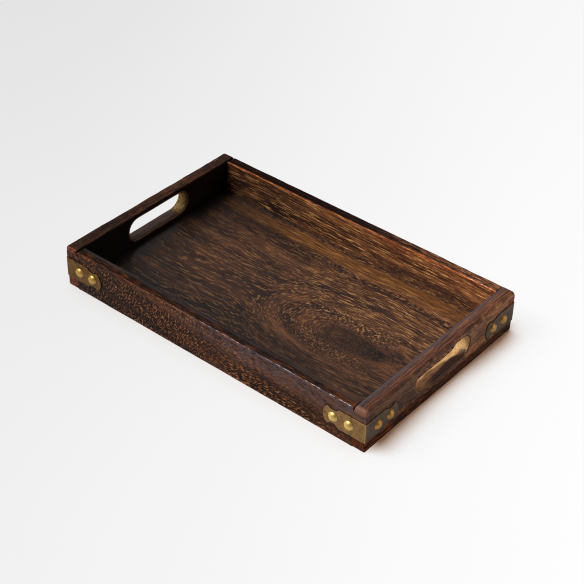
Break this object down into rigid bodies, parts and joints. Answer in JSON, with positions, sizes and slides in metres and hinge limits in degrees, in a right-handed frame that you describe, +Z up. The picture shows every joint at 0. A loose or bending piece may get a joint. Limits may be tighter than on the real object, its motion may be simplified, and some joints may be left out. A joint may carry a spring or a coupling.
{
  "type": "serving tray",
  "caption": "Rectangular dark wooden serving tray with hand slots in its raised end boards, brass straps round the corners and domed brass nails.",
  "frame": {"origin": "centre of the tray's footprint, in the plane of the table that it rests on", "axes": "+X along the length, towards the right end board; +Y across the width, towards the back side board; +Z up"},
  "size_m": [0.4084, 0.2584, 0.0505],
  "materials": {
    "frame_wood": "oiled dark hardwood, satin, worn edges",
    "floor_wood": "waxed dark hardwood, soft sheen",
    "strap_brass": "aged, dull, slightly tarnished",
    "nail_brass": "polished"
  },
  "bodies": {
    "root": {"front_side_board": "frame_wood", "back_side_board": "frame_wood", "left_end_board": "frame_wood", "right_end_board": "frame_wood", "floor_panel": "floor_wood", "front_left_corner_strap": "strap_brass", "front_left_side_nails": "nail_brass", "front_left_end_nails": "nail_brass", "front_right_corner_strap": "strap_brass", "front_right_side_nails": "nail_brass", "front_right_end_nails": "nail_brass", "back_right_corner_strap": "strap_brass", "back_right_side_nails": "nail_brass", "back_right_end_nails": "nail_brass", "back_left_corner_strap": "strap_brass", "back_left_side_nails": "nail_brass", "back_left_end_nails": "nail_brass"}
  },
  "joints": []
}
